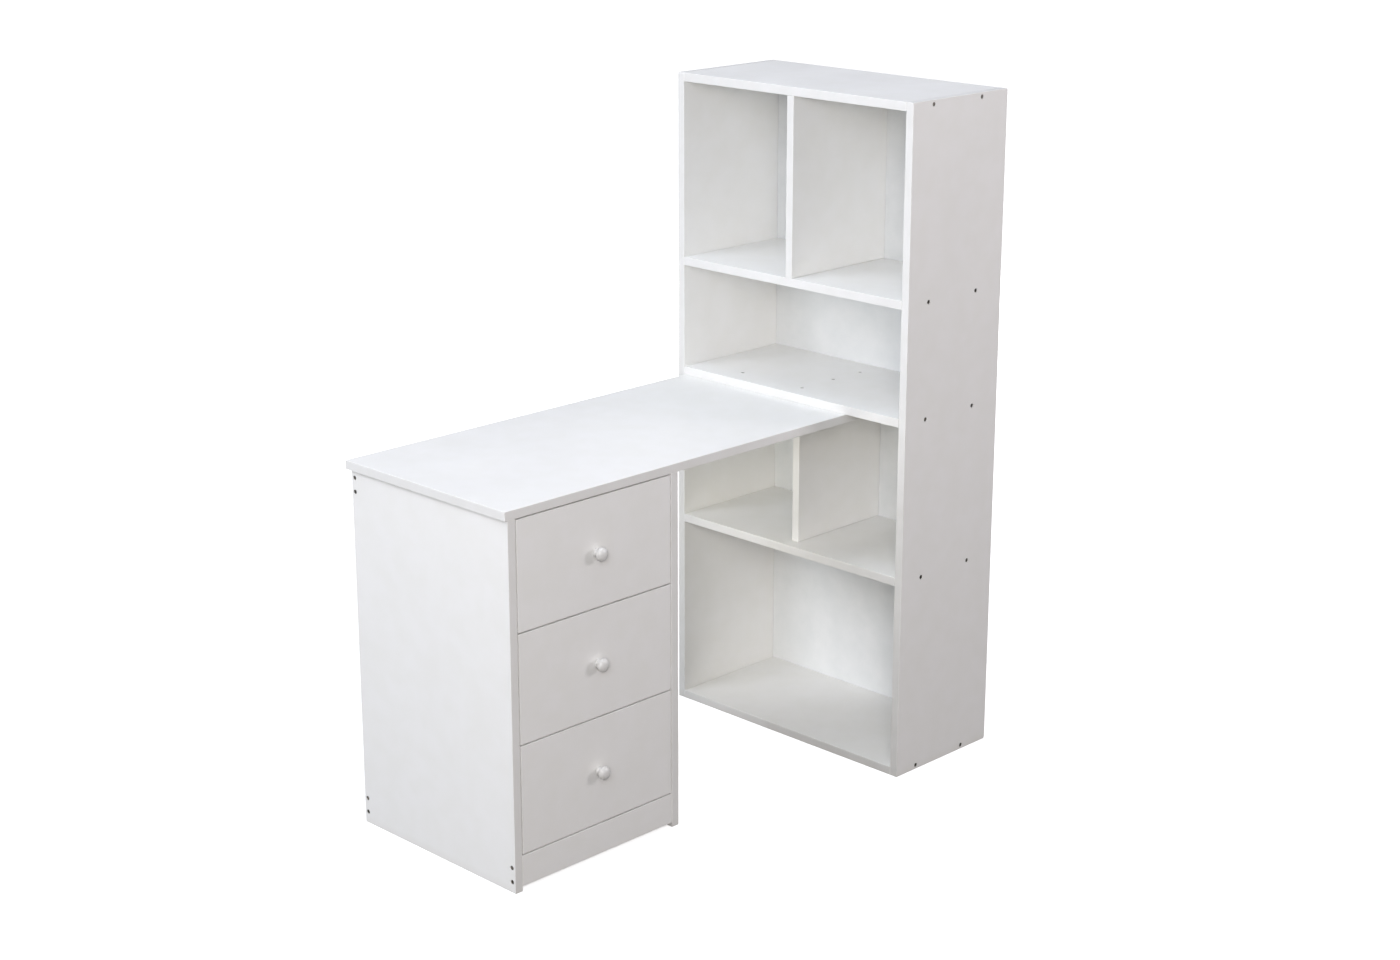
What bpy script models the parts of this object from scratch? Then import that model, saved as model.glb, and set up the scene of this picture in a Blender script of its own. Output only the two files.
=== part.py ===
# Corner desk: a desktop on a three-drawer pedestal, running into a tall bookcase that stands across
# its right-hand end. Metres, +Z up, with the origin on the floor under the middle of the desk.
# The pieces are drawn with X along the desk, the bookcase at the +X end and the sitter at -Y, and
# all hang from one empty that turns them a quarter: in the scene the drawers open towards +X and
# the bookcase, at the +Y end, opens towards -Y.

import math

import bmesh
import bpy
from mathutils import Matrix, Vector

# Driving dimensions, in metres.
BOARD = 0.018  # melamine-faced chipboard
BACK_BOARD = 0.003  # hardboard of the bookcase's back and the drawers' bottoms
GAP = 0.0003  # between pieces that touch
EDGE = 0.0008  # rounding of an edge-banded board

TOTAL_LENGTH = 1.207  # X, over the desktop's end and the bookcase's back
CASE_WIDTH = 0.640  # Y, the bookcase seen from the desk
CASE_DEPTH = 0.294  # X, with its hardboard back
CASE_HEIGHT = 1.400
UPPER_SHELF_TOP = 1.009
LOWER_SHELF_TOP = 0.434
LOWER_DIVIDER_RECESS = 0.030

DESK_HEIGHT = 0.750  # top of the desktop
DESK_DEPTH = 0.462
DESK_OVERHANG = 0.007  # of the desktop past the pedestal's outer side
PEDESTAL_LENGTH = 0.428  # X, over both sides
PEDESTAL_BACK_INSET = 0.009  # of the pedestal's back from the desktop's back edge
FRONT_INSET = 0.001  # of the pedestal's and drawers' faces from the desktop's front edge
FOOT_GAP = 0.010  # under the plinth and the bottom rail
RAIL_HEIGHT = 0.062  # plinth and back rails

DRAWERS = ("top", "middle", "bottom")
FRONT_GAP = 0.003  # above and below each drawer front
FRONT_SIDE_GAP = 0.0025
BOX_BOARD = 0.012
BOX_HEIGHT = 0.150
BOX_LENGTH = 0.400
BOX_DROP = 0.022  # of the box's lower edge above the front's lower edge
GROOVE_DEPTH = 0.006
GROOVE_RISE = 0.008  # of the bottom's groove above the box's lower edge
SLIDE_SPACE = 0.0127  # between the drawer box and the pedestal's side
SLIDE_LENGTH = 0.390
SLIDE_SHEET = 0.0012
OUTER_RAIL_HEIGHT = 0.036
INNER_RAIL_HEIGHT = 0.026
RAIL_DEPTH = 0.0094

KNOB_RADIUS = 0.0135
KNOB_REACH = 0.024
KNOB_NECK_RADIUS = 0.0065
SCREW_HEAD_RADIUS = 0.0038
SCREW_SHANK_RADIUS = 0.0024
SCREW_LENGTH = 0.050
SCREW_SEGMENTS = 16

# Planes worked out from them.
CASE_BACK = TOTAL_LENGTH / 2
CASE_FRONT = CASE_BACK - CASE_DEPTH
BOARDS_BACK = CASE_BACK - BACK_BOARD - GAP
CASE_LEFT = CASE_WIDTH / 2  # +Y, against the wall
CASE_INNER = CASE_LEFT - BOARD
DESK_BACK = CASE_INNER - 2 * GAP
DESK_FRONT = DESK_BACK - DESK_DEPTH
DESK_END = -TOTAL_LENGTH / 2
DESK_UNDER = DESK_HEIGHT - BOARD
PEDESTAL_TOP = DESK_UNDER - GAP
PEDESTAL_FRONT = DESK_FRONT + FRONT_INSET
PEDESTAL_BACK = DESK_BACK - PEDESTAL_BACK_INSET
PEDESTAL_END = DESK_END + DESK_OVERHANG
BAY_LOW = PEDESTAL_END + BOARD  # inner faces of the pedestal's sides
BAY_HIGH = PEDESTAL_END + PEDESTAL_LENGTH - BOARD
BAY_WIDTH = BAY_HIGH - BAY_LOW
DESK_SHELF_TOP = DESK_HEIGHT + GAP + BOARD
PLINTH_TOP = FOOT_GAP + RAIL_HEIGHT


def material(name, colour, roughness, metallic=0.0):
    """A Principled material with one colour."""
    made = bpy.data.materials.new(name)
    made.use_nodes = True
    shader = made.node_tree.nodes["Principled BSDF"]
    shader.inputs["Base Color"].default_value = (*colour, 1.0)
    shader.inputs["Roughness"].default_value = roughness
    shader.inputs["Metallic"].default_value = metallic
    return made


def add_object(name, mesh, finish, location=(0, 0, 0), parent=None):
    """Links a mesh as a named object with its own copy of the finish."""
    own = finish.copy()
    own.name = f"{name}_{finish.name}"
    mesh.materials.append(own)
    made = bpy.data.objects.new(name, mesh)
    made.location = location
    made.parent = parent or desk
    bpy.context.scene.collection.objects.link(made)
    return made


def round_edges(piece, width):
    bevel = piece.modifiers.new("edge_band", "BEVEL")
    bevel.width = width
    bevel.segments = 1
    bevel.limit_method = "ANGLE"
    return bevel


def board(name, low, high, finish, parent=None, edge=EDGE):
    """A board between two corners, with its origin at its middle."""
    low = Vector(low)
    high = Vector(high)
    mesh = bpy.data.meshes.new(name)
    shape = bmesh.new()
    bmesh.ops.create_cube(shape, size=1.0)
    bmesh.ops.scale(shape, vec=high - low, verts=shape.verts)
    shape.to_mesh(mesh)
    shape.free()
    piece = add_object(name, mesh, finish, (low + high) / 2, parent)
    round_edges(piece, edge)
    return piece


def extrusion(name, outline, along, start, end, finish, parent=None, edge=None):
    """A closed outline drawn across the axis "along" (X or Y) and extruded from start to end."""
    mesh = bpy.data.meshes.new(name)
    shape = bmesh.new()
    if along == "X":
        corners = [shape.verts.new((start, across, height)) for across, height in outline]
        reach = Vector((end - start, 0, 0))
    else:
        corners = [shape.verts.new((across, start, height)) for across, height in outline]
        reach = Vector((0, end - start, 0))
    face = shape.faces.new(corners)
    grown = bmesh.ops.extrude_face_region(shape, geom=[face])
    moved = [item for item in grown["geom"] if isinstance(item, bmesh.types.BMVert)]
    bmesh.ops.translate(shape, vec=reach, verts=moved)
    bmesh.ops.recalc_face_normals(shape, faces=shape.faces)
    shape.to_mesh(mesh)
    shape.free()
    piece = add_object(name, mesh, finish, parent=parent)
    if edge:
        round_edges(piece, edge)
    return piece


def turned(name, profile, axis, location, finish, parent=None, segments=SCREW_SEGMENTS):
    """A solid of revolution: profile is (radius, distance) from one end to the other along axis."""
    mesh = bpy.data.meshes.new(name)
    shape = bmesh.new()
    rings = []
    for radius, distance in profile:
        if radius == 0:
            rings.append([shape.verts.new((0, 0, distance))])
            continue
        ring = []
        for step in range(segments):
            angle = math.tau * step / segments
            ring.append(shape.verts.new((radius * math.cos(angle), radius * math.sin(angle), distance)))
        rings.append(ring)
    for ring, following in zip(rings, rings[1:]):
        for step in range(segments):
            after = (step + 1) % segments
            corners = [ring[step % len(ring)], ring[after % len(ring)]]
            corners += [following[after % len(following)], following[step % len(following)]]
            shape.faces.new(list(dict.fromkeys(corners)))
    turn = Vector((0, 0, 1)).rotation_difference(Vector(axis)).to_matrix().to_4x4()
    bmesh.ops.transform(shape, matrix=turn, verts=shape.verts)
    bmesh.ops.recalc_face_normals(shape, faces=shape.faces)
    shape.to_mesh(mesh)
    shape.free()
    mesh.shade_smooth()
    mesh.set_sharp_from_angle(angle=math.radians(40))
    return add_object(name, mesh, finish, location, parent)


def drill(piece, cutter):
    hole = piece.modifiers.new(f"hole_{cutter.name}", "BOOLEAN")
    hole.operation = "DIFFERENCE"
    hole.solver = "EXACT"
    hole.object = cutter


def cutter(name, profile, axis, location, parent=None):
    """A turned tool that only cuts: never drawn as part of the desk."""
    tool = turned(name, profile, axis, location, steel, parent)
    tool.hide_render = True
    tool.display_type = "WIRE"
    return tool


def build_bookcase():
    """Two tall sides, five boards between them, two dividers and a hardboard back."""
    boards = {}
    for name, inner in (("bookcase_left_side", CASE_INNER), ("bookcase_right_side", -CASE_LEFT)):
        low = (CASE_FRONT, inner, 0)
        boards[name] = board(name, low, (BOARDS_BACK, inner + BOARD, CASE_HEIGHT), laminate)
    levels = {
        "bookcase_top": CASE_HEIGHT,
        "bookcase_upper_shelf": UPPER_SHELF_TOP,
        "bookcase_desk_shelf": DESK_SHELF_TOP,
        "bookcase_lower_shelf": LOWER_SHELF_TOP,
        "bookcase_bottom": BOARD,
    }
    reach = CASE_INNER - GAP
    for name, top in levels.items():
        low = (CASE_FRONT, -reach, top - BOARD)
        boards[name] = board(name, low, (BOARDS_BACK, reach, top), laminate)
    dividers = {
        "bookcase_upper_divider": (CASE_FRONT, UPPER_SHELF_TOP, CASE_HEIGHT - BOARD),
        "bookcase_lower_divider": (CASE_FRONT + LOWER_DIVIDER_RECESS, LOWER_SHELF_TOP, DESK_UNDER),
    }
    for name, (front, floor, ceiling) in dividers.items():
        low = (front, -BOARD / 2, floor + GAP)
        boards[name] = board(name, low, (BOARDS_BACK, BOARD / 2, ceiling - GAP), laminate)
    margin = 0.002
    back_low = (BOARDS_BACK + GAP, -CASE_LEFT + margin, margin)
    back_high = (CASE_BACK, CASE_LEFT - margin, CASE_HEIGHT - margin)
    board("bookcase_back_panel", back_low, back_high, hardboard, edge=BACK_BOARD / 10)
    return boards


def build_desk():
    """The desktop, which runs on under the bookcase's desk-level shelf, and the drawer pedestal."""
    low = (DESK_END, DESK_FRONT, DESK_UNDER)
    desktop = board("desktop", low, (BOARDS_BACK, DESK_BACK, DESK_HEIGHT), laminate)
    sides = {"pedestal_outer_side": PEDESTAL_END, "pedestal_inner_side": BAY_HIGH}
    for name, start in sides.items():
        low = (start, PEDESTAL_FRONT, 0)
        board(name, low, (start + BOARD, PEDESTAL_BACK, PEDESTAL_TOP), laminate)
    rails = {
        "pedestal_plinth": (PEDESTAL_FRONT, FOOT_GAP),
        "pedestal_back_bottom_rail": (PEDESTAL_BACK - BOARD, FOOT_GAP),
        "pedestal_back_top_rail": (PEDESTAL_BACK - BOARD, PEDESTAL_TOP - RAIL_HEIGHT),
    }
    for name, (front, floor) in rails.items():
        low = (BAY_LOW + GAP, front, floor)
        board(name, low, (BAY_HIGH - GAP, front + BOARD, floor + RAIL_HEIGHT), laminate)
    return desktop


def channel(wall, reach, height):
    """Outline of a C-shaped rail: its web against the plane x = wall, its flanges as far as reach."""
    into = math.copysign(1.0, reach - wall)
    web = wall + into * SLIDE_SHEET
    half = height / 2
    hollow = half - SLIDE_SHEET
    return [
        (wall, -half),
        (reach, -half),
        (reach, -hollow),
        (web, -hollow),
        (web, hollow),
        (reach, hollow),
        (reach, half),
        (wall, half),
    ]


def build_slides(level, middle, start, drawer):
    """A fixed outer rail and a moving inner rail on each side of one drawer."""
    half = BAY_WIDTH / 2
    for side, sign in (("left", -1), ("right", 1)):
        wall = sign * (half - GAP)
        outer = channel(wall, wall - sign * RAIL_DEPTH, OUTER_RAIL_HEIGHT)
        outer = [(middle.x + across, middle.z + height) for across, height in outer]
        name = f"{level}_slide_{side}_outer_rail"
        extrusion(name, outer, "Y", middle.y + start, middle.y + start + SLIDE_LENGTH, zinc)
        box = sign * (half - SLIDE_SPACE + GAP)
        inner = channel(box, box + sign * RAIL_DEPTH, INNER_RAIL_HEIGHT)
        name = f"{level}_slide_{side}_inner_rail"
        extrusion(name, inner, "Y", start, start + SLIDE_LENGTH, zinc, drawer)


def build_drawer(level, middle, front_height):
    """One drawer round an empty at the middle of its face: +Y runs into the pedestal."""
    drawer = bpy.data.objects.new(f"{level}_drawer", None)
    drawer.location = middle
    drawer.parent = desk
    bpy.context.scene.collection.objects.link(drawer)
    half = BAY_WIDTH / 2
    box_half = half - SLIDE_SPACE
    box_low = -front_height / 2 + BOX_DROP
    groove = box_low + GROOVE_RISE
    groove_top = groove + BACK_BOARD + 2 * GAP
    box_start = BOARD + GAP
    box_end = box_start + BOX_LENGTH

    front_top = front_height / 2
    front = [
        (0, -front_top),
        (BOARD, -front_top),
        (BOARD, groove),
        (BOARD - GROOVE_DEPTH, groove),
        (BOARD - GROOVE_DEPTH, groove_top),
        (BOARD, groove_top),
        (BOARD, front_top),
        (0, front_top),
    ]
    width = half - FRONT_SIDE_GAP
    panel = extrusion(f"{level}_drawer_front", front, "X", -width, width, laminate, drawer, edge=EDGE)

    for side, sign in (("left", -1), ("right", 1)):
        outside = sign * box_half
        inside = sign * (box_half - BOX_BOARD)
        slot = sign * (box_half - BOX_BOARD + GROOVE_DEPTH)
        outline = [
            (outside, box_low),
            (inside, box_low),
            (inside, groove),
            (slot, groove),
            (slot, groove_top),
            (inside, groove_top),
            (inside, box_low + BOX_HEIGHT),
            (outside, box_low + BOX_HEIGHT),
        ]
        extrusion(f"{level}_drawer_{side}_side", outline, "Y", box_start, box_end, laminate, drawer)

    inner_half = box_half - BOX_BOARD
    sheet_half = inner_half + GROOVE_DEPTH - GAP
    sheet_low = (-sheet_half, BOARD - GROOVE_DEPTH + GAP, groove + GAP)
    sheet_high = (sheet_half, box_end, groove + GAP + BACK_BOARD)
    board(f"{level}_drawer_bottom", sheet_low, sheet_high, hardboard, drawer, edge=BACK_BOARD / 10)
    rear_low = (-inner_half + GAP, box_end - BOX_BOARD, sheet_high[2] + GAP)
    rear_high = (inner_half - GAP, box_end, box_low + BOX_HEIGHT)
    board(f"{level}_drawer_back", rear_low, rear_high, laminate, drawer, edge=EDGE / 2)

    build_slides(level, middle, box_start, drawer)
    build_knob(level, panel, drawer)


def build_knob(level, panel, drawer):
    """A turned mushroom knob on the face, held by a screw from inside the drawer."""
    neck = 0.007  # length of the neck, face to head
    belly = (KNOB_REACH - neck) / 2
    profile = [
        (0, 0.010),
        (SCREW_SHANK_RADIUS + GAP, 0.010),
        (SCREW_SHANK_RADIUS + GAP, 0),
        (0.0095, 0),
        (0.0095, 0.0012),
        (KNOB_NECK_RADIUS, 0.0028),
        (KNOB_NECK_RADIUS, neck - 0.001),
    ]
    steps = 9
    for step in range(steps + 1):
        angle = math.pi * (0.14 + 0.86 * step / steps)
        across = KNOB_RADIUS * math.sin(angle) if step < steps else 0
        profile.append((across, neck + belly - belly * math.cos(angle)))
    turned(f"{level}_drawer_knob", profile, (0, -1, 0), (0, -GAP, 0), white_plastic, drawer, segments=32)

    head_height = 0.0022
    hidden = 0.008  # of the screw inside the knob
    screw = [
        (0, 0),
        (SCREW_HEAD_RADIUS * 0.7, 0),
        (SCREW_HEAD_RADIUS, head_height * 0.4),
        (SCREW_HEAD_RADIUS, head_height),
        (SCREW_SHANK_RADIUS, head_height),
        (SCREW_SHANK_RADIUS, head_height + GAP + BOARD + hidden),
        (0, head_height + GAP + BOARD + hidden),
    ]
    head = (0, BOARD + GAP + head_height, 0)
    turned(f"{level}_drawer_knob_screw", screw, (0, -1, 0), head, steel, drawer)
    bore = SCREW_SHANK_RADIUS + GAP
    past = 0.004
    hole = [(0, -past), (bore, -past), (bore, BOARD + past), (0, BOARD + past)]
    drill(panel, cutter(f"{level}_knob_hole", hole, (0, 1, 0), (0, 0, 0), drawer))


def build_shelf_screws(boards, desktop):
    """Screws down through the desk-level shelf: three into the divider, one into the desktop."""
    shelf = boards["bookcase_desk_shelf"]
    divider = boards["bookcase_lower_divider"]
    top = DESK_SHELF_TOP
    places = (
        (0.050, 0.175, BOARD + 0.013),
        (0.046, 0, SCREW_LENGTH),
        (0.144, 0, SCREW_LENGTH),
        (0.230, 0, SCREW_LENGTH),
    )
    for number, (back, across, length) in enumerate(places, 1):
        seat = (CASE_FRONT + back, across, top)
        cone = 0.003
        screw = [
            (0, -0.0004),
            (SCREW_HEAD_RADIUS, -0.0004),
            (SCREW_HEAD_RADIUS, -0.0010),
            (SCREW_SHANK_RADIUS, -0.0010 - cone),
            (SCREW_SHANK_RADIUS, -length + 0.004),
            (0.0006, -length),
            (0, -length),
        ]
        turned(f"desk_shelf_screw_{number}", screw, (0, 0, 1), seat, steel)
        bore = SCREW_SHANK_RADIUS + GAP
        mouth = SCREW_HEAD_RADIUS + GAP
        hole = [
            (0, 0.002),
            (mouth, 0.002),
            (mouth, -0.0012),
            (bore, -0.0012 - cone),
            (bore, -length - 0.001),
            (0, -length - 0.001),
        ]
        tool = cutter(f"screw_hole_{number}", hole, (0, 0, 1), seat)
        for piece in [shelf, desktop] + [divider] * (across == 0):
            drill(piece, tool)


for leftover in list(bpy.data.objects):
    bpy.data.objects.remove(leftover, do_unlink=True)

laminate = material("white_melamine", (0.83, 0.83, 0.81), 0.34)
hardboard = material("white_hardboard", (0.80, 0.81, 0.81), 0.42)
white_plastic = material("gloss_white_plastic", (0.86, 0.86, 0.85), 0.18)
zinc = material("zinc_plated_steel", (0.62, 0.63, 0.65), 0.32, 1.0)
steel = material("nickel_plated_screw", (0.50, 0.49, 0.47), 0.30, 1.0)

desk = bpy.data.objects.new("corner_desk", None)
desk.rotation_euler.z = math.pi / 2
bpy.context.scene.collection.objects.link(desk)

case_boards = build_bookcase()
desktop_board = build_desk()
pitch = (DESK_UNDER - FRONT_GAP - PLINTH_TOP) / len(DRAWERS)
bay_middle = (BAY_LOW + BAY_HIGH) / 2
for order, drawer_level in enumerate(DRAWERS):
    face_height = pitch - FRONT_GAP
    face_middle = DESK_UNDER - pitch * order - FRONT_GAP - face_height / 2
    build_drawer(drawer_level, Vector((bay_middle, PEDESTAL_FRONT, face_middle)), face_height)
build_shelf_screws(case_boards, desktop_board)
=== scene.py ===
import math

import bmesh
import bpy
from mathutils import Matrix, Vector


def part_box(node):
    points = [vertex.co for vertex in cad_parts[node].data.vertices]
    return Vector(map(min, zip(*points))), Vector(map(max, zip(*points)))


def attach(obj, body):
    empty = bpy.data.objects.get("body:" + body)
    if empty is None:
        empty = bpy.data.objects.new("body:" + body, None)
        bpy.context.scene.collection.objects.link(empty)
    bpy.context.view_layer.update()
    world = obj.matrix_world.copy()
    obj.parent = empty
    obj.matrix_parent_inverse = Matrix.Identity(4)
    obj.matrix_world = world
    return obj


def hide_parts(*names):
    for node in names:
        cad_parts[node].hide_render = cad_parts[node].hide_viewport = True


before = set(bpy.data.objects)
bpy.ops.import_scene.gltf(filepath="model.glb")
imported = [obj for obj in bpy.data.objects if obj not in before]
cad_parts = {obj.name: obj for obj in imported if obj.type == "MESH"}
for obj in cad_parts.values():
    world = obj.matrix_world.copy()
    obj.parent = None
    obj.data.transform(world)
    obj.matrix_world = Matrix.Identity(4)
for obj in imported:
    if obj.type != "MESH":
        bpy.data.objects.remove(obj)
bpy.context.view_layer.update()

print("frame loaded:", len(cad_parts), "nodes")


def toLinear(hexColour):
    parts = [int(hexColour[start:start + 2], 16) / 255 for start in (1, 3, 5)]
    linear = [part / 12.92 if part <= 0.04045 else ((part + 0.055) / 1.055) ** 2.4 for part in parts]
    return (*linear, 1.0)


def addNode(tree, kind, inputs=None, output=None, **settings):
    # inputs maps a socket's name or number to a value or to the output linked into it;
    # the node comes back, or the one of its outputs that is asked for
    node = tree.nodes.new(kind)
    for name, value in settings.items():
        setattr(node, name, value)
    for key, value in (inputs or {}).items():
        if isinstance(value, bpy.types.NodeSocket):
            tree.links.new(value, node.inputs[key])
        else:
            node.inputs[key].default_value = value
    return node if output is None else node.outputs[output]


def startMaterial(name):
    material = bpy.data.materials.new(name)
    material.use_nodes = True
    material.node_tree.nodes.clear()
    return material, material.node_tree


# materials
melamineLook = {
    "dustAndEdgeShade": "#DBD8CF",  # dust and rubbing low down; along every face's edges partly rubbing and partly painted shade, also where boards meet
    "ior": 1.50,
    "mottleMm": 45,
    "pearlMm": 2.6,  # the press plate's 0.4 mm pearl, drawn coarser so that it shows
    "chipMm": 14,  # chips of the core telegraphing through the paper
    "smearMm": 120,  # where it was wiped
    "rubMm": 30,
    "rubAndEdgeShadeWidth": 0.0035,
    "rubAndEdgeShadeAmount": 0.35,
    "footHeight": 0.018,
    "footAmount": 0.5,
}


def makeMelamine(name, paper, shade, roughness, onBoards):
    # Melamine-faced chipboard, hot-pressed against a pearl plate: a dense satin white, nearly even,
    # with a soft broad sheen and a very slight unevenness in the reflections.
    look = melamineLook
    material, tree = startMaterial(name)
    place = addNode(tree, "ShaderNodeTexCoord", output="Object")
    mottle = addNode(tree, "ShaderNodeTexNoise", {
        "Vector": place, "Scale": 1000 / look["mottleMm"], "Detail": 3.0}, "Fac")
    mottle = addNode(tree, "ShaderNodeMapRange", {
        "Value": mottle, "From Min": 0.35, "From Max": 0.65}, "Result")
    colour = addNode(tree, "ShaderNodeMix", {
        "Factor": mottle, "A": toLinear(paper), "B": toLinear(shade)}, "Result", data_type="RGBA")
    smear = addNode(tree, "ShaderNodeTexNoise", {
        "Vector": place, "Scale": 1000 / look["smearMm"], "Detail": 4.0, "Roughness": 0.6}, "Fac")
    height = addNode(tree, "ShaderNodeSeparateXYZ", {0: place}, "Z")
    low = addNode(tree, "ShaderNodeMapRange", {
        "Value": height, "From Max": look["footHeight"],
        "To Min": look["footAmount"], "To Max": 0.0}, "Result")
    wornAndEdgeShade = addNode(tree, "ShaderNodeMath", {0: low, 1: smear}, "Value", operation="MULTIPLY")
    if onBoards:
        # the two UV maps hold the distances to a face's two low edges and to its two high edges
        sides = []
        for layer in ("fromLow", "fromHigh"):
            corner = addNode(tree, "ShaderNodeUVMap", output="UV", uv_map=layer)
            apart = addNode(tree, "ShaderNodeSeparateXYZ", {0: corner})
            sides.append(addNode(tree, "ShaderNodeMath", {
                0: apart.outputs["X"], 1: apart.outputs["Y"]}, "Value", operation="MINIMUM"))
        nearest = addNode(tree, "ShaderNodeMath", {0: sides[0], 1: sides[1]}, "Value", operation="MINIMUM")
        # painted shade and rubbing: the colour darkens near every edge of each face, also at the joints
        # between boards
        rubAndEdgeShade = addNode(tree, "ShaderNodeMapRange", {
            "Value": nearest, "From Max": look["rubAndEdgeShadeWidth"],
            "To Min": look["rubAndEdgeShadeAmount"], "To Max": 0.0}, "Result")
        patches = addNode(tree, "ShaderNodeTexNoise", {
            "Vector": place, "Scale": 1000 / look["rubMm"], "Detail": 3.0}, "Fac")
        patches = addNode(tree, "ShaderNodeMapRange", {
            "Value": patches, "From Min": 0.45, "From Max": 0.75}, "Result")
        rubAndEdgeShade = addNode(tree, "ShaderNodeMath", {0: rubAndEdgeShade, 1: patches}, "Value", operation="MULTIPLY")
        wornAndEdgeShade = addNode(tree, "ShaderNodeMath", {0: wornAndEdgeShade, 1: rubAndEdgeShade}, "Value", operation="MAXIMUM")
    colour = addNode(tree, "ShaderNodeMix", {
        "Factor": wornAndEdgeShade, "A": colour, "B": toLinear(look["dustAndEdgeShade"])}, "Result", data_type="RGBA")
    sheen = addNode(tree, "ShaderNodeMapRange", {
        "Value": smear, "From Min": 0.35, "From Max": 0.65,
        "To Min": roughness[0], "To Max": roughness[1]}, "Result")
    pearl = addNode(tree, "ShaderNodeTexNoise", {
        "Vector": place, "Scale": 1000 / look["pearlMm"], "Detail": 1.0}, "Fac")
    pearl = addNode(tree, "ShaderNodeBump", {
        "Strength": 0.10, "Distance": 0.0002, "Height": pearl}, "Normal")
    chips = addNode(tree, "ShaderNodeTexNoise", {"Vector": place, "Scale": 1000 / look["chipMm"]}, "Fac")
    chips = addNode(tree, "ShaderNodeBump", {
        "Strength": 0.06, "Distance": 0.0006, "Height": chips, "Normal": pearl}, "Normal")
    shader = addNode(tree, "ShaderNodeBsdfPrincipled", {
        "Base Color": colour, "Roughness": sheen, "IOR": look["ior"], "Normal": chips}, "BSDF")
    addNode(tree, "ShaderNodeOutputMaterial", {"Surface": shader})
    return material


hardboardLook = {
    # colour, its shade, roughness low and high, bump
    "front": ("#E9EBEB", "#E3E6E6", 0.38, 0.48, 0.10),
    "rear": ("#DEDCD6", "#D7D4CC", 0.72, 0.85, 0.35),
    "cloudMm": 60,
    "peelMm": 4.0,
    "screenMm": 3.0,  # the press screen's 1 mm mesh, drawn coarser so that it shows
}


def makeHardboard(name, side):
    # Thin wet-process hardboard. The front is roller-lacquered, smooth with a slight orange peel,
    # and the rear keeps the mesh of the press screen, matt and a little greyer.
    look = hardboardLook
    paint, shade, roughLow, roughHigh, strength = look[side]
    material, tree = startMaterial(name)
    place = addNode(tree, "ShaderNodeTexCoord", output="Object")
    cloud = addNode(tree, "ShaderNodeTexNoise", {
        "Vector": place, "Scale": 1000 / look["cloudMm"], "Detail": 4.0, "Roughness": 0.6}, "Fac")
    tint = addNode(tree, "ShaderNodeMapRange", {
        "Value": cloud, "From Min": 0.35, "From Max": 0.65}, "Result")
    colour = addNode(tree, "ShaderNodeMix", {
        "Factor": tint, "A": toLinear(paint), "B": toLinear(shade)}, "Result", data_type="RGBA")
    sheen = addNode(tree, "ShaderNodeMapRange", {
        "Value": cloud, "From Min": 0.35, "From Max": 0.65,
        "To Min": roughLow, "To Max": roughHigh}, "Result")
    if side == "rear":
        mesh = [addNode(tree, "ShaderNodeTexWave", {
            "Vector": place, "Scale": 50 / look["screenMm"], "Distortion": 0.6, "Detail": 1.0}, "Fac",
            bands_direction=way) for way in ("X", "Z")]
        relief = addNode(tree, "ShaderNodeMath", {0: mesh[0], 1: mesh[1]}, "Value", operation="MULTIPLY")
    else:
        relief = addNode(tree, "ShaderNodeTexNoise", {
            "Vector": place, "Scale": 1000 / look["peelMm"], "Detail": 1.0}, "Fac")
    bump = addNode(tree, "ShaderNodeBump", {
        "Strength": strength, "Distance": 0.0003, "Height": relief}, "Normal")
    shader = addNode(tree, "ShaderNodeBsdfPrincipled", {
        "Base Color": colour, "Roughness": sheen, "IOR": 1.48, "Normal": bump}, "BSDF")
    addNode(tree, "ShaderNodeOutputMaterial", {"Surface": shader})
    return material


knobLook = {
    "body": "#E2E2E0",
    "shade": "#DADAD7",
    "roughness": (0.24, 0.34),
    "flowMm": 12,
    "scratchMm": 3,
}


def makeKnobPlastic(name, look):
    # Injection-moulded ABS with a soft gloss, faint flow clouding and fine handling scratches.
    material, tree = startMaterial(name)
    place = addNode(tree, "ShaderNodeTexCoord", output="Object")
    flow = addNode(tree, "ShaderNodeTexNoise", {"Vector": place, "Scale": 1000 / look["flowMm"]}, "Fac")
    colour = addNode(tree, "ShaderNodeMix", {
        "Factor": flow, "A": toLinear(look["body"]), "B": toLinear(look["shade"])},
        "Result", data_type="RGBA")
    handled = addNode(tree, "ShaderNodeTexNoise", {
        "Vector": place, "Scale": 1000 / look["scratchMm"], "Detail": 3.0}, "Fac")
    sheen = addNode(tree, "ShaderNodeMapRange", {
        "Value": handled, "From Min": 0.3, "From Max": 0.7,
        "To Min": look["roughness"][0], "To Max": look["roughness"][1]}, "Result")
    bump = addNode(tree, "ShaderNodeBump", {
        "Strength": 0.05, "Distance": 0.0002, "Height": handled}, "Normal")
    shader = addNode(tree, "ShaderNodeBsdfPrincipled", {
        "Base Color": colour, "Roughness": sheen, "IOR": 1.54, "Normal": bump}, "BSDF")
    addNode(tree, "ShaderNodeOutputMaterial", {"Surface": shader})
    return material


zincLook = {
    "metal": "#C8C7C4",
    "shade": "#B1B0AE",
    "roughness": (0.26, 0.44),
    "spangleMm": 6,
    "grainMm": 0.8,
}
nickelLook = {
    "metal": "#A9A6A0",
    "shade": "#7F7B75",
    "roughness": (0.22, 0.42),
    "spangleMm": 1.5,
    "grainMm": 0.8,
}


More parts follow.
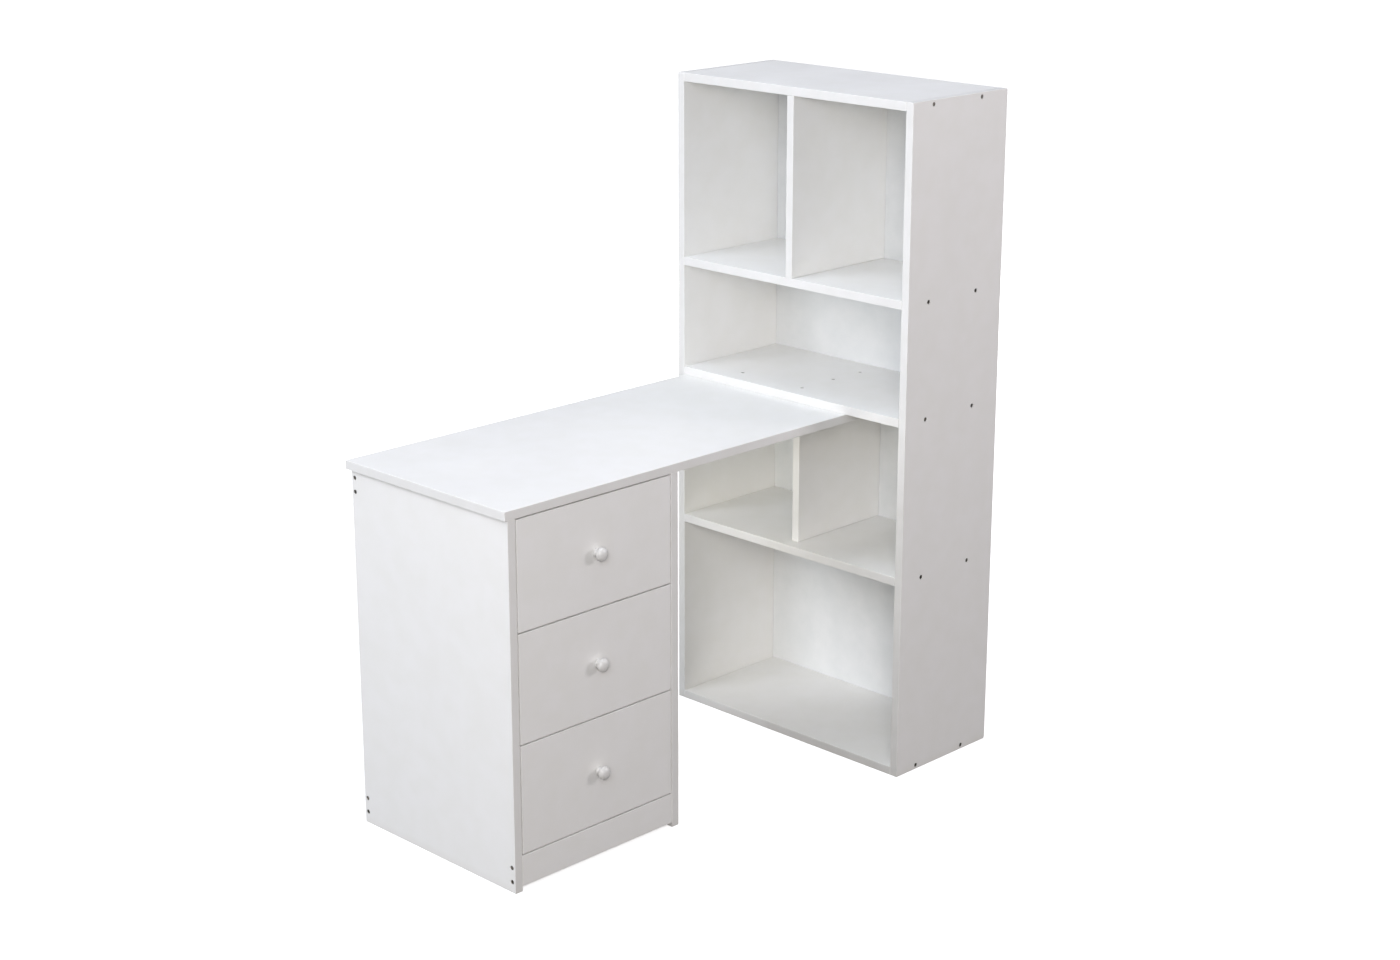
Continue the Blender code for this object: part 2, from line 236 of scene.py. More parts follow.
def makePlatedSteel(name, look):
    # Cold-rolled steel, bright-plated: a soft metal sheen with fine cloudy patches and rolling marks.
    material, tree = startMaterial(name)
    place = addNode(tree, "ShaderNodeTexCoord", output="Object")
    cloud = addNode(tree, "ShaderNodeTexNoise", {
        "Vector": place, "Scale": 1000 / look["spangleMm"], "Detail": 4.0, "Roughness": 0.65}, "Fac")
    tint = addNode(tree, "ShaderNodeMapRange", {
        "Value": cloud, "From Min": 0.35, "From Max": 0.65}, "Result")
    colour = addNode(tree, "ShaderNodeMix", {
        "Factor": tint, "A": toLinear(look["metal"]), "B": toLinear(look["shade"])},
        "Result", data_type="RGBA")
    sheen = addNode(tree, "ShaderNodeMapRange", {
        "Value": cloud, "From Min": 0.3, "From Max": 0.7,
        "To Min": look["roughness"][0], "To Max": look["roughness"][1]}, "Result")
    grain = addNode(tree, "ShaderNodeTexNoise", {"Vector": place, "Scale": 1000 / look["grainMm"]}, "Fac")
    bump = addNode(tree, "ShaderNodeBump", {
        "Strength": 0.08, "Distance": 0.0001, "Height": grain}, "Normal")
    shader = addNode(tree, "ShaderNodeBsdfPrincipled", {
        "Base Color": colour, "Metallic": 1.0, "Roughness": sheen, "Normal": bump}, "BSDF")
    addNode(tree, "ShaderNodeOutputMaterial", {"Surface": shader})
    return material


whiteMelamine = makeMelamine("melamineFacedChipboardSatinWhite", "#EFEFED", "#EDEDEA", (0.36, 0.46), True)
innerMelamine = makeMelamine("melamineFacedBoxBoardWhite", "#EDEDE9", "#EBEBE6", (0.36, 0.46), True)
# the banding is darker than the faces: partly the band's own greyer white, partly painted shade on the
# board edges
edgeBandingWithShade = makeMelamine("absEdgeBandingWhiteWithPaintedShade", "#E6E6E4", "#E3E3E0", (0.32, 0.40), False)
lacqueredHardboard = makeHardboard("hardboardLacqueredWhite", "front")
hardboardRear = makeHardboard("hardboardScreenBackPrimed", "rear")
knobPlastic = makeKnobPlastic("absMouldedGlossWhite", knobLook)
zincSteel = makePlatedSteel("rolledSteelZincPlated", zincLook)
nickelSteel = makePlatedSteel("screwSteelNickelPlated", nickelLook)
print("materials made")


def meshObject(name, shape, materials):
    mesh = bpy.data.meshes.new(name)
    shape.to_mesh(mesh)
    shape.free()
    for material in materials:
        mesh.materials.append(material)
    piece = bpy.data.objects.new(name, mesh)
    bpy.context.scene.collection.objects.link(piece)
    return piece


def applyModifiers(piece):
    graph = bpy.context.evaluated_depsgraph_get()
    mesh = bpy.data.meshes.new_from_object(piece.evaluated_get(graph))
    old = piece.data
    piece.modifiers.clear()
    piece.data = mesh
    bpy.data.meshes.remove(old)
    mesh.name = piece.name


def turnedShape(profile, facing, place, sides):
    # profile: (radius, distance along facing); a radius of 0 closes the end
    shape = bmesh.new()
    rings = []
    for radius, along in profile:
        count = 1 if radius == 0 else sides
        angles = [math.tau * step / sides for step in range(count)]
        rings.append([shape.verts.new((radius * math.cos(a), radius * math.sin(a), along)) for a in angles])
    for ring, following in zip(rings, rings[1:]):
        for step in range(sides):
            after = (step + 1) % sides
            corners = [ring[step % len(ring)], ring[after % len(ring)]]
            corners += [following[after % len(following)], following[step % len(following)]]
            shape.faces.new(list(dict.fromkeys(corners)))
    turn = Vector((0, 0, 1)).rotation_difference(Vector(facing)).to_matrix().to_4x4()
    bmesh.ops.transform(shape, matrix=Matrix.Translation(place) @ turn, verts=shape.verts)
    bmesh.ops.recalc_face_normals(shape, faces=shape.faces)
    return shape


def addShape(target, source):
    # copies one bmesh into another and frees it
    mesh = bpy.data.meshes.new("loose")
    source.to_mesh(mesh)
    source.free()
    target.from_mesh(mesh)
    bpy.data.meshes.remove(mesh)


def boxShape(low, high):
    shape = bmesh.new()
    bmesh.ops.create_cube(shape, size=1.0)
    size = [top - bottom for bottom, top in zip(low, high)]
    middle = [(top + bottom) / 2 for bottom, top in zip(low, high)]
    place = Matrix.Translation(middle) @ Matrix.Diagonal((*size, 1.0))
    bmesh.ops.transform(shape, matrix=place, verts=shape.verts)
    return shape


boardEdge = {
    "radius": 0.0008,
    "boxSideRadius": 0.0005,
    "boxBackRadius": 0.0004,
    "panelRadius": 0.0003,
    "boxBottomRadius": 0.0002,
    "segments": 3,
}


def cutAway(piece, cutters):
    # cutters are closed shapes that don't touch each other
    if not cutters:
        return
    tools = bmesh.new()
    for tool in cutters:
        addShape(tools, tool)
    cutting = meshObject("cuttingTools", tools, [])
    modifier = piece.modifiers.new("cut", "BOOLEAN")
    modifier.operation = "DIFFERENCE"
    modifier.solver = "EXACT"
    modifier.object = cutting
    applyModifiers(piece)
    bpy.data.objects.remove(cutting)


def facedBoard(node, body, faces, bands, cutters=(), radius=boardEdge["radius"]):
    # a board from its node's box: broad faces in one material, thin edges banded in the other,
    # with two UV maps that hold each point's distance from the face's edges
    low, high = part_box(node)
    thin = min(range(3), key=lambda axis: high[axis] - low[axis])
    shape = boxShape(low, high)
    fromLow = shape.loops.layers.uv.new("fromLow")
    fromHigh = shape.loops.layers.uv.new("fromHigh")
    for face in shape.faces:
        across = max(range(3), key=lambda axis: abs(face.normal[axis]))
        face.material_index = 0 if across == thin else 1
        first, second = [axis for axis in range(3) if axis != across]
        for loop in face.loops:
            point = loop.vert.co
            loop[fromLow].uv = (point[first] - low[first], point[second] - low[second])
            loop[fromHigh].uv = (high[first] - point[first], high[second] - point[second])
    bmesh.ops.bevel(shape, geom=list(shape.edges), offset=radius, segments=boardEdge["segments"],
                    profile=0.5, affect="EDGES", clamp_overlap=True)
    words = node.split("_")
    piece = meshObject(words[0] + "".join(word.capitalize() for word in words[1:]), shape, [faces, bands])
    cutAway(piece, list(cutters))
    piece.data.shade_smooth()
    piece.data.set_sharp_from_angle(angle=math.radians(40))
    weighted = piece.modifiers.new("flatFaces", "WEIGHTED_NORMAL")
    weighted.keep_sharp = True
    applyModifiers(piece)
    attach(piece, body)
    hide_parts(node)
    return piece


screwLook = {
    "headRadius": 0.0040,
    "headHeight": 0.0012,
    "shankRadius": 0.0023,
    "sunk": 0.0009,  # head's top below the board's face
    "boreRadius": 0.0047,
    "boreDepth": 0.0165,
    "room": 0.0003,
    "above": 0.002,  # the cutting shape's height over the face
    "coneHeight": 0.0016,
    "sides": 32,
    "depthShares": (0.21, 0.716),  # places across the bookcase's depth, from its front
}
caseLow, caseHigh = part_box("bookcase_right_side")
leftLow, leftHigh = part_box("bookcase_left_side")
caseFront, caseBack = caseLow.y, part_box("bookcase_back_panel")[1].y
caseDepth = caseBack - caseFront
outerLow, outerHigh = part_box("pedestal_outer_side")
innerLow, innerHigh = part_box("pedestal_inner_side")

screwPlaces = {}  # node: [(point on its face, outward direction)]
for board in ("top", "upper_shelf", "desk_shelf", "lower_shelf", "bottom"):
    boardLow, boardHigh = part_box("bookcase_" + board)
    for share in screwLook["depthShares"]:
        back = caseFront + share * caseDepth
        level = (boardLow.z + boardHigh.z) / 2
        screwPlaces.setdefault("bookcase_right_side", []).append(((caseHigh.x, back, level), (1, 0, 0)))
        screwPlaces.setdefault("bookcase_left_side", []).append(((leftLow.x, back, level), (-1, 0, 0)))
pedestalScrews = (
    # rail, distances of its two screws above the rail's lower edge, inset from the pedestal's edge
    ("pedestal_back_top_rail", (0.019, 0.047), 0.009),
    ("pedestal_back_bottom_rail", (0.014, 0.043), 0.009),
    ("pedestal_plinth", (0.012, 0.041), 0.0095),
)
for rail, heights, inset in pedestalScrews:
    railLow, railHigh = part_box(rail)
    atFront = rail == "pedestal_plinth"
    across = railHigh.x - inset if atFront else railLow.x + inset
    for above in heights:
        for side, face, way in (("pedestal_outer_side", outerLow.y, -1),
                                ("pedestal_inner_side", innerHigh.y, 1)):
            point = (across, face, railLow.z + above)
            screwPlaces.setdefault(side, []).append((point, (0, way, 0)))
for number in range(1, 5):
    nodeLow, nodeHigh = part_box(f"desk_shelf_screw_{number}")
    middle = (nodeLow + nodeHigh) / 2
    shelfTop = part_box("bookcase_desk_shelf")[1].z
    screwPlaces.setdefault("bookcase_desk_shelf", []).append(((middle.x, middle.y, shelfTop), (0, 0, 1)))


def boreTools(places):
    # a counterbore for the head and a narrower hole for the shank
    look = screwLook
    above, deep = look["above"], -look["boreDepth"]
    floor = -look["sunk"] - look["headHeight"] - look["room"]
    narrow = look["shankRadius"] + look["room"]
    profile = [(0, above), (look["boreRadius"], above), (look["boreRadius"], floor),
               (narrow, floor - look["coneHeight"]), (narrow, deep), (0, deep)]
    return [turnedShape(profile, facing, point, look["sides"]) for point, facing in places]


caseBoards = ("left_side", "right_side", "top", "upper_shelf", "desk_shelf", "lower_shelf", "bottom",
              "upper_divider", "lower_divider")
pedestalBoards = ("outer_side", "inner_side", "plinth", "back_bottom_rail", "back_top_rail")
for node in ["bookcase_" + name for name in caseBoards] + ["pedestal_" + name for name in pedestalBoards]:
    facedBoard(node, "carcass", whiteMelamine, edgeBandingWithShade,
               boreTools(screwPlaces.get(node, ())))
facedBoard("desktop", "carcass", whiteMelamine, edgeBandingWithShade)
print("carcass boards made")

drawerLevels = ("top", "middle", "bottom")
drawerCuts = {
    "room": 0.0003,  # round the bottom sheet in its groove
    "past": 0.010,  # how far a cutting shape runs past the board
    "boreRadius": 0.0027,  # for the knob's screw
    "boreReach": 0.050,
    "boreSides": 24,
}
for level in drawerLevels:
    body = f"{level}_drawer"
    frontLow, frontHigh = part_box(f"{level}_drawer_front")
    sheetLow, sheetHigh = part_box(f"{level}_drawer_bottom")
    screwLow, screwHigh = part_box(f"{level}_drawer_knob_screw")
    room = Vector([drawerCuts["room"]] * 3)
    past = drawerCuts["past"]
    groove = (sheetLow - room, sheetHigh + room)
    across = (Vector((groove[0].x, frontLow.y - past, groove[0].z)),
              Vector((groove[1].x, frontHigh.y + past, groove[1].z)))
    centre = (screwLow + screwHigh) / 2
    reach, wide = drawerCuts["boreReach"], drawerCuts["boreRadius"]
    bore = turnedShape([(0, -reach), (wide, -reach), (wide, reach), (0, reach)], (1, 0, 0),
                       (frontLow.x, centre.y, centre.z), drawerCuts["boreSides"])
    facedBoard(f"{level}_drawer_front", body, whiteMelamine, edgeBandingWithShade,
               [boxShape(*across), bore])
    for side in ("left_side", "right_side"):
        sideLow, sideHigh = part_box(f"{level}_drawer_{side}")
        slot = (Vector((sideLow.x - past, groove[0].y, groove[0].z)),
                Vector((sideHigh.x + past, groove[1].y, groove[1].z)))
        facedBoard(f"{level}_drawer_{side}", body, innerMelamine, edgeBandingWithShade,
                   [boxShape(*slot)], radius=boardEdge["boxSideRadius"])
    facedBoard(f"{level}_drawer_back", body, innerMelamine, edgeBandingWithShade,
               radius=boardEdge["boxBackRadius"])
    facedBoard(f"{level}_drawer_bottom", body, lacqueredHardboard, lacqueredHardboard,
               radius=boardEdge["boxBottomRadius"])
print("drawer boxes made")

panelLow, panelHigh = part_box("bookcase_back_panel")
panel = facedBoard("bookcase_back_panel", "carcass", lacqueredHardboard, hardboardRear,
                   radius=boardEdge["panelRadius"])
for face in panel.data.polygons:
    face.material_index = 1 if face.center.y > (panelLow.y + panelHigh.y) / 2 else 0
print("back panel made")

knobShape = {
    "headRadius": 0.0135,
    "footRadius": 0.0094,
    "neckRadius": 0.0063,
    "neckLength": 0.0075,
    "reach": 0.0238,
    "footHeight": 0.0014,
    "curveHeight": 0.0030,
    "headTuck": 0.0012,  # the neck ends this much before the head's back
    "headStart": 0.17,  # share of the half turn that the neck hides
    "squareness": 0.82,  # 1 is a round ball, less is flatter
    "boreRadius": 0.0027,
    "boreDepth": 0.0098,
    "backGap": 0.0004,
    "sides": 72,
}


def knobProfile(shape):
    foot, neck, length = shape["footRadius"], shape["neckRadius"], shape["neckLength"]
    bore, deep, back = shape["boreRadius"], shape["boreDepth"], shape["backGap"]
    profile = [(0, deep), (bore, deep), (bore, back), (foot - back, back)]
    profile += [(foot, 2 * back), (foot, shape["footHeight"])]
    for step in range(1, 7):  # the hollow curve of the neck
        turn = step / 6 * math.pi / 2
        profile.append((neck + (foot - neck) * (1 - math.sin(turn)),
                        shape["footHeight"] + shape["curveHeight"] * (1 - math.cos(turn))))
    profile.append((neck, length - shape["headTuck"]))
    half = (shape["reach"] - length) / 2
    for step in range(1, 25):  # the flattened ball of the head
        angle = math.pi * (shape["headStart"] + (1 - shape["headStart"]) * step / 24)
        across = shape["headRadius"] * math.sin(angle) ** shape["squareness"] if step < 24 else 0
        profile.append((across, length + half - half * math.cos(angle)))
    return profile


for level in drawerLevels:
    knobLow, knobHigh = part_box(f"{level}_drawer_knob")
    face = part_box(f"{level}_drawer_front")[1].x
    place = (face, (knobLow.y + knobHigh.y) / 2, (knobLow.z + knobHigh.z) / 2)
    shape = turnedShape(knobProfile(knobShape), (1, 0, 0), place, knobShape["sides"])
    knob = meshObject(f"{level}DrawerKnob", shape, [knobPlastic])
    knob.data.shade_smooth()
    knob.data.set_sharp_from_angle(angle=math.radians(50))
    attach(knob, f"{level}_drawer")
    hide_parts(f"{level}_drawer_knob")
print("knobs made")


def startTree(name, sizes):
    # a geometry tree with a named size input for each entry of sizes
    tree = bpy.data.node_groups.new(name, "GeometryNodeTree")
    tree.interface.new_socket("Geometry", in_out="INPUT", socket_type="NodeSocketGeometry")
    for size, value in sizes.items():
        socket = tree.interface.new_socket(size, in_out="INPUT", socket_type="NodeSocketFloat")
        socket.default_value = value
    tree.interface.new_socket("Geometry", in_out="OUTPUT", socket_type="NodeSocketGeometry")
    return tree, addNode(tree, "NodeGroupInput").outputs


def placeOnPoints(tree, points, part, material, seed):
    # turns each copy to face its point's "facing" and by a random angle about that axis
    facing = addNode(tree, "GeometryNodeInputNamedAttribute", {"Name": "facing"}, "Attribute",
                     data_type="FLOAT_VECTOR")
    aligned = addNode(tree, "FunctionNodeAlignRotationToVector", {"Vector": facing}, "Rotation", axis="Z")
    angle = addNode(tree, "FunctionNodeRandomValue", {"Seed": seed, "Max": math.tau}, "Value",
                    data_type="FLOAT")
    twist = addNode(tree, "FunctionNodeAxisAngleToRotation", {"Axis": (0, 0, 1), "Angle": angle},
                    "Rotation")
    turned = addNode(tree, "FunctionNodeRotateRotation", {
        "Rotation": aligned, "Rotate By": twist}, "Rotation", rotation_space="LOCAL")
    copies = addNode(tree, "GeometryNodeInstanceOnPoints", {
        "Points": points, "Instance": part, "Rotation": turned}, "Instances")
    real = addNode(tree, "GeometryNodeRealizeInstances", {"Geometry": copies}, "Geometry")
    painted = addNode(tree, "GeometryNodeSetMaterial", {"Geometry": real, "Material": material}, "Geometry")
    addNode(tree, "NodeGroupOutput", {0: painted})


def screwTree(name, material, sizes):
    # a cross-head screw, its axis along Z and its origin on the board's face; "rim" is the head's
    # top above that face, "cone" the height of the countersink under the head
    tree, given = startTree(name, sizes)
    half = addNode(tree, "ShaderNodeMath", {0: given["headHeight"], 1: -0.5}, "Value", operation="MULTIPLY")
    discUp = addNode(tree, "ShaderNodeMath", {0: given["rim"], 1: half}, "Value", operation="ADD")
    below = addNode(tree, "ShaderNodeMath", {0: discUp, 1: half}, "Value", operation="ADD")
    coneUp = addNode(tree, "ShaderNodeMath", {0: below, 1: given["cone"]}, "Value", operation="SUBTRACT")
    shaft = addNode(tree, "ShaderNodeMath", {0: given["length"], 1: -0.5}, "Value", operation="MULTIPLY")
    shaftUp = addNode(tree, "ShaderNodeMath", {0: below, 1: shaft}, "Value", operation="ADD")
    deep = addNode(tree, "ShaderNodeMath", {0: given["crossDeep"], 1: 2.0}, "Value", operation="MULTIPLY")
    disc = addNode(tree, "GeometryNodeMeshCylinder", {
        "Vertices": 28, "Radius": given["headRadius"], "Depth": given["headHeight"]}, "Mesh")
    cone = addNode(tree, "GeometryNodeMeshCone", {
        "Vertices": 28, "Radius Top": given["headRadius"], "Radius Bottom": given["shankRadius"],
        "Depth": given["cone"]}, "Mesh")
    rod = addNode(tree, "GeometryNodeMeshCylinder", {
        "Vertices": 16, "Radius": given["shankRadius"], "Depth": given["length"]}, "Mesh")
    solid = addNode(tree, "GeometryNodeMeshBoolean", operation="UNION", solver="EXACT")
    for part, height in ((disc, discUp), (cone, coneUp), (rod, shaftUp)):
        along = addNode(tree, "ShaderNodeCombineXYZ", {"Z": height}, "Vector")
        moved = addNode(tree, "GeometryNodeTransform", {"Geometry": part, "Translation": along}, "Geometry")
        tree.links.new(moved, solid.inputs[1])
    size = addNode(tree, "ShaderNodeCombineXYZ", {
        "X": given["crossLong"], "Y": given["crossWide"], "Z": deep}, "Vector")
    bar = addNode(tree, "GeometryNodeMeshCube", {"Size": size}, "Mesh")
    cut = addNode(tree, "GeometryNodeMeshBoolean", {0: solid.outputs[0]},
                  operation="DIFFERENCE", solver="EXACT")
    rimPlace = addNode(tree, "ShaderNodeCombineXYZ", {"Z": given["rim"]}, "Vector")
    for turn in (0.0, math.pi / 2):
        crossed = addNode(tree, "GeometryNodeTransform", {
            "Geometry": bar, "Translation": rimPlace, "Rotation": (0, 0, turn)}, "Geometry")
        tree.links.new(crossed, cut.inputs[1])
    placeOnPoints(tree, given["Geometry"], cut.outputs[0], material, seed=7)
    return tree


def nailTree(name, material, sizes):
    # a small flat-headed nail standing a little proud of the sheet
    tree, given = startTree(name, sizes)
    disc = addNode(tree, "GeometryNodeMeshCylinder", {
        "Vertices": 18, "Radius": given["headRadius"], "Depth": given["headHeight"]}, "Mesh")
    up = addNode(tree, "ShaderNodeMath", {0: given["headHeight"], 1: 0.25}, "Value", operation="MULTIPLY")
    along = addNode(tree, "ShaderNodeCombineXYZ", {"Z": up}, "Vector")
    moved = addNode(tree, "GeometryNodeTransform", {"Geometry": disc, "Translation": along}, "Geometry")
    placeOnPoints(tree, given["Geometry"], moved, material, seed=3)
    return tree


def scatter(name, tree, places, sizes, body, nodes=()):
    # runs a tree on points and keeps the result as one plain mesh that rides on one body
    mesh = bpy.data.meshes.new(name + "Points")
    mesh.from_pydata([point for point, facing in places], [], [])
    facings = mesh.attributes.new("facing", "FLOAT_VECTOR", "POINT")
    for index, (point, facing) in enumerate(places):
        facings.data[index].vector = facing
    source = bpy.data.objects.new(name + "Points", mesh)
    bpy.context.scene.collection.objects.link(source)
    modifier = source.modifiers.new("parts", "NODES")
    modifier.node_group = tree
    for item in tree.interface.items_tree:
        if item.in_out == "INPUT" and item.name in sizes:
            modifier[item.identifier] = sizes[item.name]
    graph = bpy.context.evaluated_depsgraph_get()
    made = bpy.data.meshes.new_from_object(source.evaluated_get(graph))
    made.name = name
    bpy.data.objects.remove(source)
    made.shade_smooth()
    made.set_sharp_from_angle(angle=math.radians(35))
    piece = bpy.data.objects.new(name, made)
    bpy.context.scene.collection.objects.link(piece)
    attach(piece, body)
    if nodes:
        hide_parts(*nodes)
    return piece


sunkenScrews = {
    "headRadius": screwLook["headRadius"],
    "headHeight": screwLook["headHeight"],
    "rim": -screwLook["sunk"],
    "cone": 0.0018,
    "shankRadius": screwLook["shankRadius"],
    "length": 0.014,
    "crossLong": 0.0046,
    "crossWide": 0.0011,
    "crossDeep": 0.0018,
}
allPlaces = [place for places in screwPlaces.values() for place in places]
scatter("carcassScrews", screwTree("sunkenScrews", nickelSteel, sunkenScrews), allPlaces, sunkenScrews,
        "carcass", [f"desk_shelf_screw_{number}" for number in range(1, 5)])

slideScrews = {
    "headRadius": 0.0031,
    "headHeight": 0.0014,
    "rim": 0.0014,
    "cone": 0.0012,
    "shankRadius": 0.0017,
    "length": 0.009,
    "crossLong": 0.0036,
    "crossWide": 0.0008,
    "crossDeep": 0.0009,
    "fromEnd": 0.035,
    "railSheet": 0.0012,
}
slideTree = screwTree("slideScrews", zincSteel, {key: slideScrews[key] for key in sunkenScrews})
for level in drawerLevels:
    places = []
    sheetLow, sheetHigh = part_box(f"{level}_drawer_bottom")
    boxMiddle = (sheetLow.y + sheetHigh.y) / 2
    for side in ("left", "right"):
        railLow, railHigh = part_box(f"{level}_slide_{side}_inner_rail")
        way = 1 if railLow.y > boxMiddle else -1
        webFace = railLow.y + slideScrews["railSheet"] if way > 0 else railHigh.y - slideScrews["railSheet"]
        near, far = railHigh.x - slideScrews["fromEnd"], railLow.x + slideScrews["fromEnd"]
        for along in (near, (near + far) / 2, far):
            places.append(((along, webFace, (railLow.z + railHigh.z) / 2), (0, way, 0)))
    scatter(f"{level}DrawerSlideScrews", slideTree, places, slideScrews, f"{level}_drawer")

nailLook = {"headRadius": 0.0022, "headHeight": 0.0006, "spacing": 0.115, "inset": 0.007,
            "cornerRoom": 0.060, "shelfInset": 0.09}
inset, cornerRoom = nailLook["inset"], nailLook["cornerRoom"]
left, right = panelLow.x + inset, panelHigh.x - inset
low, high = panelLow.z + inset, panelHigh.z - inset
rows = [(Vector((left, height)), Vector((right, height))) for height in (low, high)]
rows += [(Vector((across, panelLow.z + cornerRoom)), Vector((across, panelHigh.z - cornerRoom)))
         for across in (left, right)]
for board in ("upper_shelf", "desk_shelf", "lower_shelf"):
    boardLow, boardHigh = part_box("bookcase_" + board)
    level = (boardLow.z + boardHigh.z) / 2
    rows.append((Vector((panelLow.x + nailLook["shelfInset"], level)),
                 Vector((panelHigh.x - nailLook["shelfInset"], level))))
nailPlaces = []
for start, end in rows:
    count = max(1, round((end - start).length / nailLook["spacing"]))
    for step in range(count + 1):
        point = start.lerp(end, step / count)
        nailPlaces.append(((point.x, caseBack, point.y), (0, 1, 0)))
nails = nailTree("panelNails", nickelSteel, {key: nailLook[key] for key in ("headRadius", "headHeight")})
scatter("backPanelNails", nails, nailPlaces, nailLook, "carcass")
print("screws and nails made:", sum(map(len, screwPlaces.values())), len(nailPlaces))

# the CAD nodes that stay: slide rails and knob screws
for name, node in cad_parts.items():
    if node.hide_render:
        continue
    steel = zincSteel if "slide" in name else nickelSteel
    for index in range(len(node.material_slots)):
        node.material_slots[index].material = steel
print("slides and knob screws finished")

view = {
    # place, angles and lens lie between two least-squares fits of the desk's edges
    "place": (3.276, -3.262, 2.0636),
    "azimuth": 44.666,
    "downward": 16.359,
    "roll": 0.044,
    "lens": 62.10,
    "sensorWidth": 36,
    "farthest": 200,
    "shiftY": -30 / 1400,
}
azimuth, downward, roll = (math.radians(view[key]) for key in ("azimuth", "downward", "roll"))
ahead = Vector((-math.sin(azimuth) * math.cos(downward), math.cos(azimuth) * math.cos(downward),
                -math.sin(downward)))
sideways = Vector((math.cos(azimuth), math.sin(azimuth), 0))
upward = sideways.cross(ahead)
tilted = sideways * math.cos(roll) + upward * math.sin(roll)
raised = upward * math.cos(roll) - sideways * math.sin(roll)
camera = bpy.data.objects.new("camera", bpy.data.cameras.new("camera"))
bpy.context.scene.collection.objects.link(camera)
turned = Matrix((tilted, raised, -ahead)).transposed().to_4x4()
camera.matrix_world = Matrix.Translation(view["place"]) @ turned
camera.data.lens = view["lens"]
camera.data.sensor_width = view["sensorWidth"]
camera.data.shift_y = view["shiftY"]
camera.data.clip_end = view["farthest"]
bpy.context.scene.camera = camera

studio = {
    "floorSize": 60.0,
    "floorGlow": 0.66,
    "glowFrom": 1.0,
    "glowTo": 4.0,
    "cardHeight": -0.02,
    "backdropRadius": 40.0,
    "sky": ("#FFFFFF", 0.20),
    "bounce": ("#FFFFFF", 0.05),
    # places, sizes and aims are listed; watts and colours come from a least-squares fit of
    # tones, but for backFill and the watts of underDesk, which are listed
    "lights": {  # name: (place, size, watts, colour, where it points)
        "highLeft": ((-0.5, -2.5, 4.0), 2.0, 46.4, "#F7FAFF", (0, 0, 0.7)),
        "highFront": ((3.0, -3.6, 3.0), 2.0, 73.5, "#EEF1FF", (0, 0, 0.7)),
        "eyeLevel": ((3.45, -3.4, 2.1), 1.2, 73.0, "#FFF6EB", (0, 0, 0.7)),
        "highBack": ((-0.5, 2.0, 4.2), 2.0, 22.3, "#FFF5FC", (0, 0, 0.7)),
        "lowLeft": ((-1.5, -4.0, 0.8), 1.6, 46.0, "#F2F7FF", (0, 0, 0.7)),
        "highFarLeft": ((-2.5, -3.5, 3.6), 1.8, 58.0, "#F1F3FF", (0, 0, 0.7)),
        "caseSide": ((3.0, 2.2, 1.8), 1.0, 37.5, "#FFF9FE", (0.3, 0.5, 1.2)),
        "overhead": ((0.3, -0.3, 4.5), 2.0, 42.3, "#E5F0FF", (0, 0, 0.7)),
        "wideEye": ((5.5, -5.0, 1.6), 3.0, 33.8, "#FFF2F1", (0, 0, 0.7)),
        "backFill": ((-3.6, 3.8, 0.55), 1.0, 70.0, "#FFFFFF", (0, 0.3, 0.8)),
        "underDesk": ((-0.05, 0.0, 0.6), 0.12, 0.5, "#FFFEF6", (-0.1, 0.5, 0.45)),
    },
}


def plainPlane(name, size, height, material):
    shape = bmesh.new()
    bmesh.ops.create_grid(shape, x_segments=1, y_segments=1, size=size / 2)
    bmesh.ops.translate(shape, vec=(0, 0, height), verts=shape.verts)
    return meshObject(name, shape, [material])


floorMaterial, tree = startMaterial("paintedFloorPaleMatt")
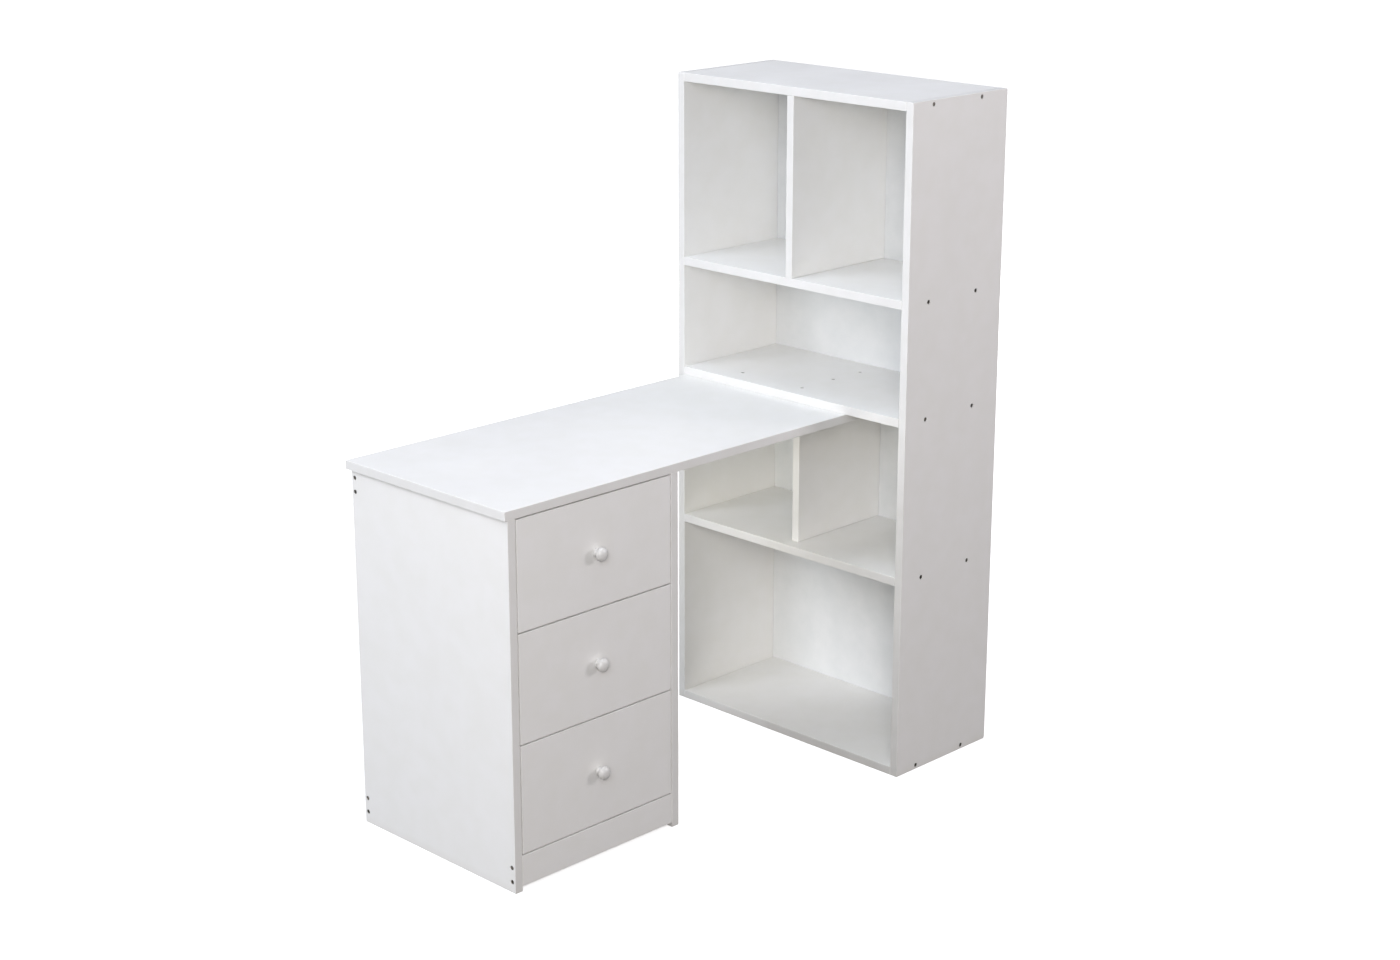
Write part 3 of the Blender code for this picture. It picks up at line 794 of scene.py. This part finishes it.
# the glow rises away from the desk, so that the floor stays evenly pale as the lamps fall off
place = addNode(tree, "ShaderNodeTexCoord", output="Object")
fromDesk = addNode(tree, "ShaderNodeVectorMath", {0: place}, "Value", operation="LENGTH")
glow = addNode(tree, "ShaderNodeMapRange", {
    "Value": fromDesk, "From Min": studio["glowFrom"], "From Max": studio["glowTo"],
    "To Min": studio["floorGlow"]}, "Result")
shader = addNode(tree, "ShaderNodeBsdfPrincipled", {
    "Base Color": toLinear("#F4F4F4"), "Roughness": 0.9, "Specular IOR Level": 0.0,
    "Emission Color": toLinear("#FFFFFF"), "Emission Strength": glow}, "BSDF")
addNode(tree, "ShaderNodeOutputMaterial", {"Surface": shader})
floor = plainPlane("floor", studio["floorSize"], 0, floorMaterial)
floor.visible_diffuse = False
floor.visible_glossy = False

bounceMaterial, tree = startMaterial("bounceCardWhite")
shader = addNode(tree, "ShaderNodeEmission", {
    "Color": toLinear(studio["bounce"][0]), "Strength": studio["bounce"][1]}, "Emission")
addNode(tree, "ShaderNodeOutputMaterial", {"Surface": shader})
card = plainPlane("bounceCard", studio["floorSize"], studio["cardHeight"], bounceMaterial)
card.visible_camera = False

backdropMaterial, tree = startMaterial("backdropPaleWhite")
shader = addNode(tree, "ShaderNodeEmission", {"Color": toLinear("#FFFFFF"), "Strength": 1.0}, "Emission")
addNode(tree, "ShaderNodeOutputMaterial", {"Surface": shader})
shape = bmesh.new()
bmesh.ops.create_icosphere(shape, subdivisions=4, radius=studio["backdropRadius"])
bmesh.ops.reverse_faces(shape, faces=shape.faces)
backdrop = meshObject("backdrop", shape, [backdropMaterial])
for ray in ("diffuse", "glossy", "transmission", "shadow"):
    setattr(backdrop, "visible_" + ray, False)

world = bpy.data.worlds.new("studioSky")
world.use_nodes = True
sky = world.node_tree.nodes["Background"]
sky.inputs["Color"].default_value = toLinear(studio["sky"][0])
sky.inputs["Strength"].default_value = studio["sky"][1]
bpy.context.scene.world = world

for name, (place, size, watts, colour, target) in studio["lights"].items():
    lamp = bpy.data.lights.new(name, "AREA")
    lamp.shape = "SQUARE"
    lamp.size = size
    lamp.energy = watts
    lamp.color = toLinear(colour)[:3]
    lampObject = bpy.data.objects.new(name, lamp)
    lampObject.location = place
    lampObject.rotation_euler = (Vector(target) - Vector(place)).to_track_quat("-Z", "Y").to_euler()
    lampObject.visible_camera = False
    bpy.context.scene.collection.objects.link(lampObject)
bpy.context.scene.view_settings.view_transform = "Standard"
print("camera and studio made")
